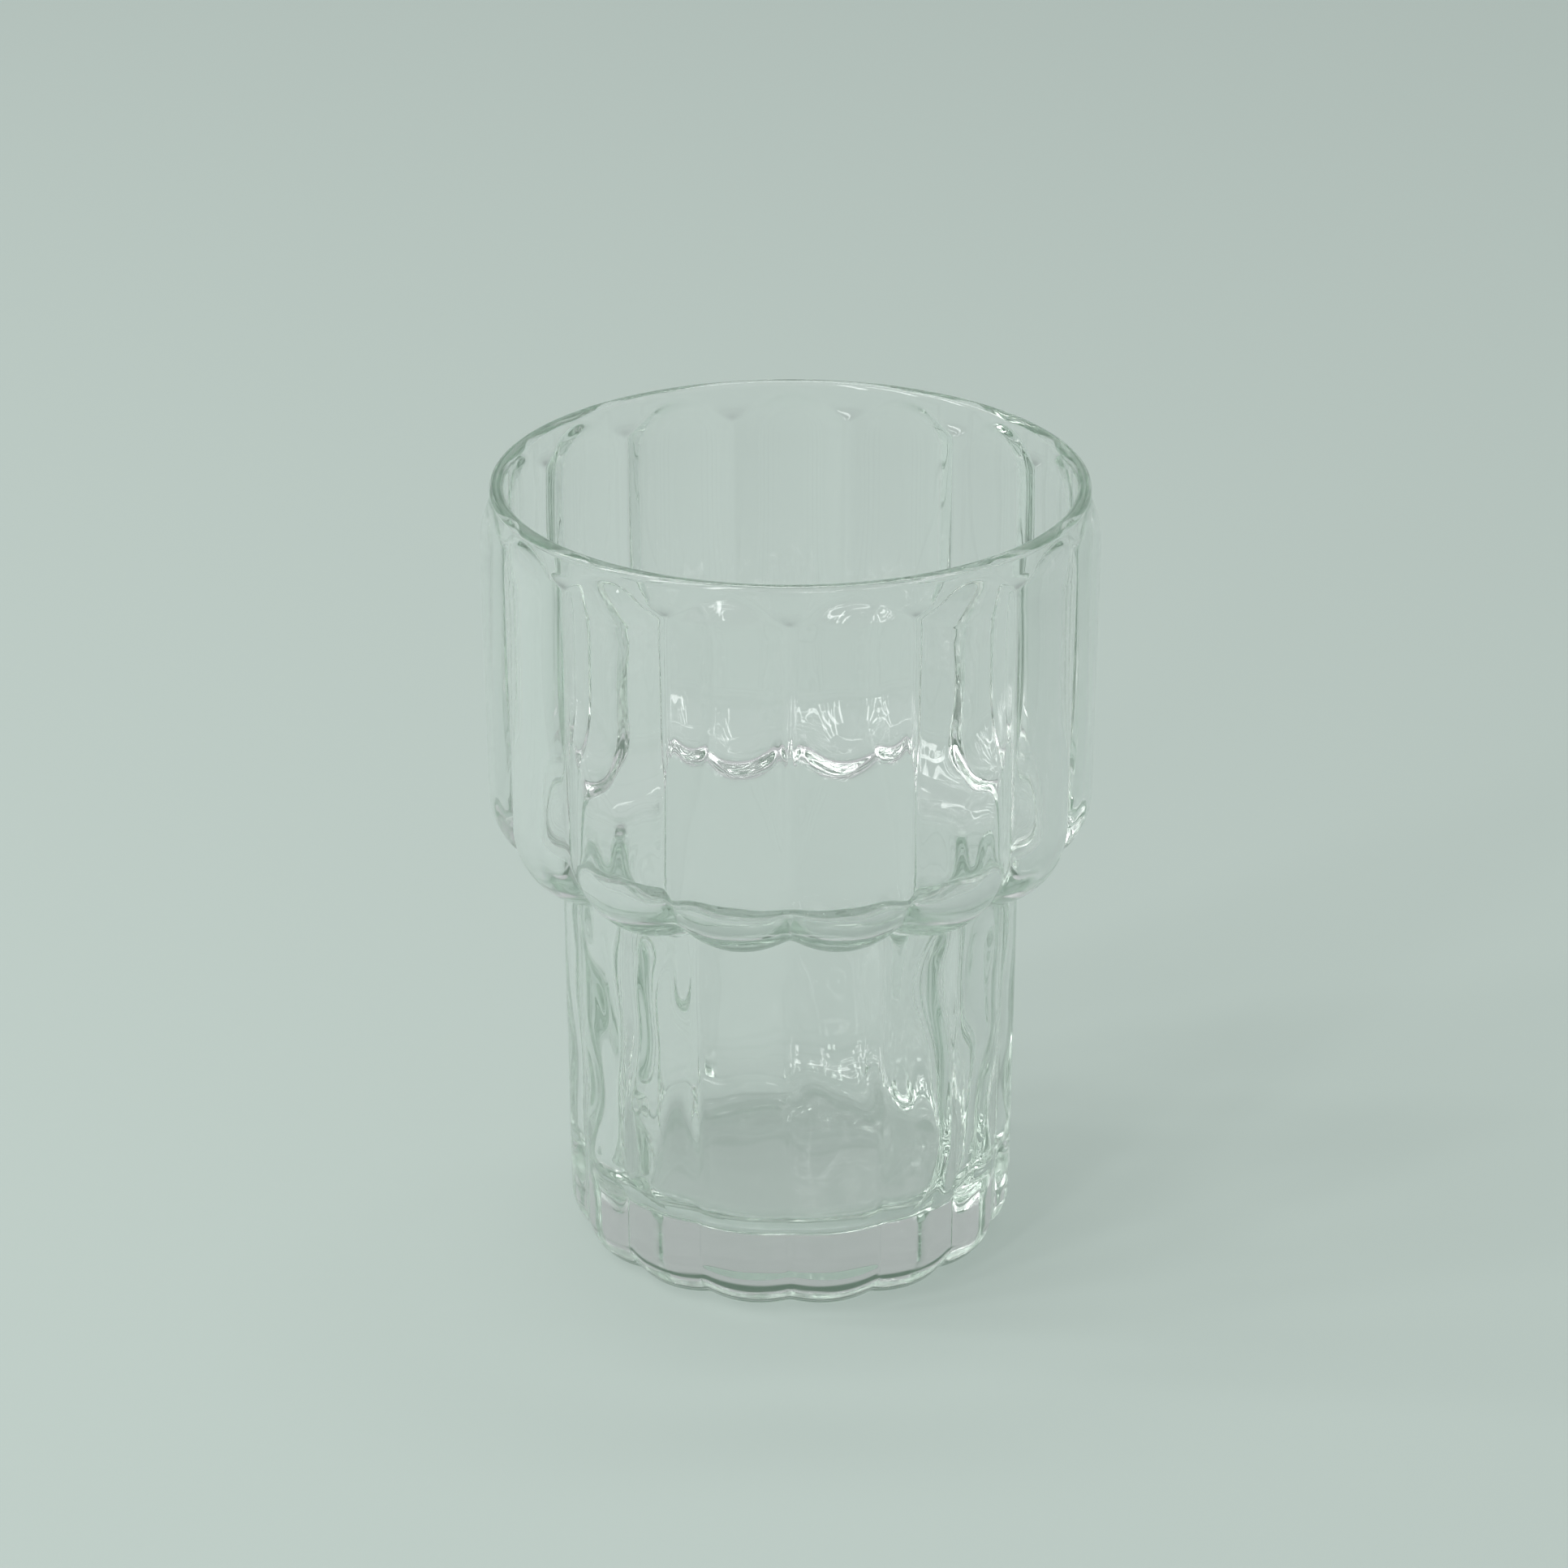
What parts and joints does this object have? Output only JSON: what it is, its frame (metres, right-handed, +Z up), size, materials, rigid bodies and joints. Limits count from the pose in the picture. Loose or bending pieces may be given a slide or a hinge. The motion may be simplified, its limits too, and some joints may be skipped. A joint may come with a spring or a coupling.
{
  "type": "juice glass",
  "caption": "Clear stacking juice tumbler with a plain round rim, a wide lobed bowl, a domed shoulder and a narrower lobed lower body on a thick flat base.",
  "frame": {"origin": "centre of the flat underside of the foot, on the axis of the glass", "axes": "+Z up along the axis of the glass, towards the mouth; -Y passes through a groove and faces the camera"},
  "size_m": [0.0846, 0.0843, 0.113],
  "materials": {
    "clear_glass": "fire-polished clear soda-lime glass"
  },
  "bodies": {
    "root": {"glass_tumbler": "clear_glass"}
  },
  "joints": []
}
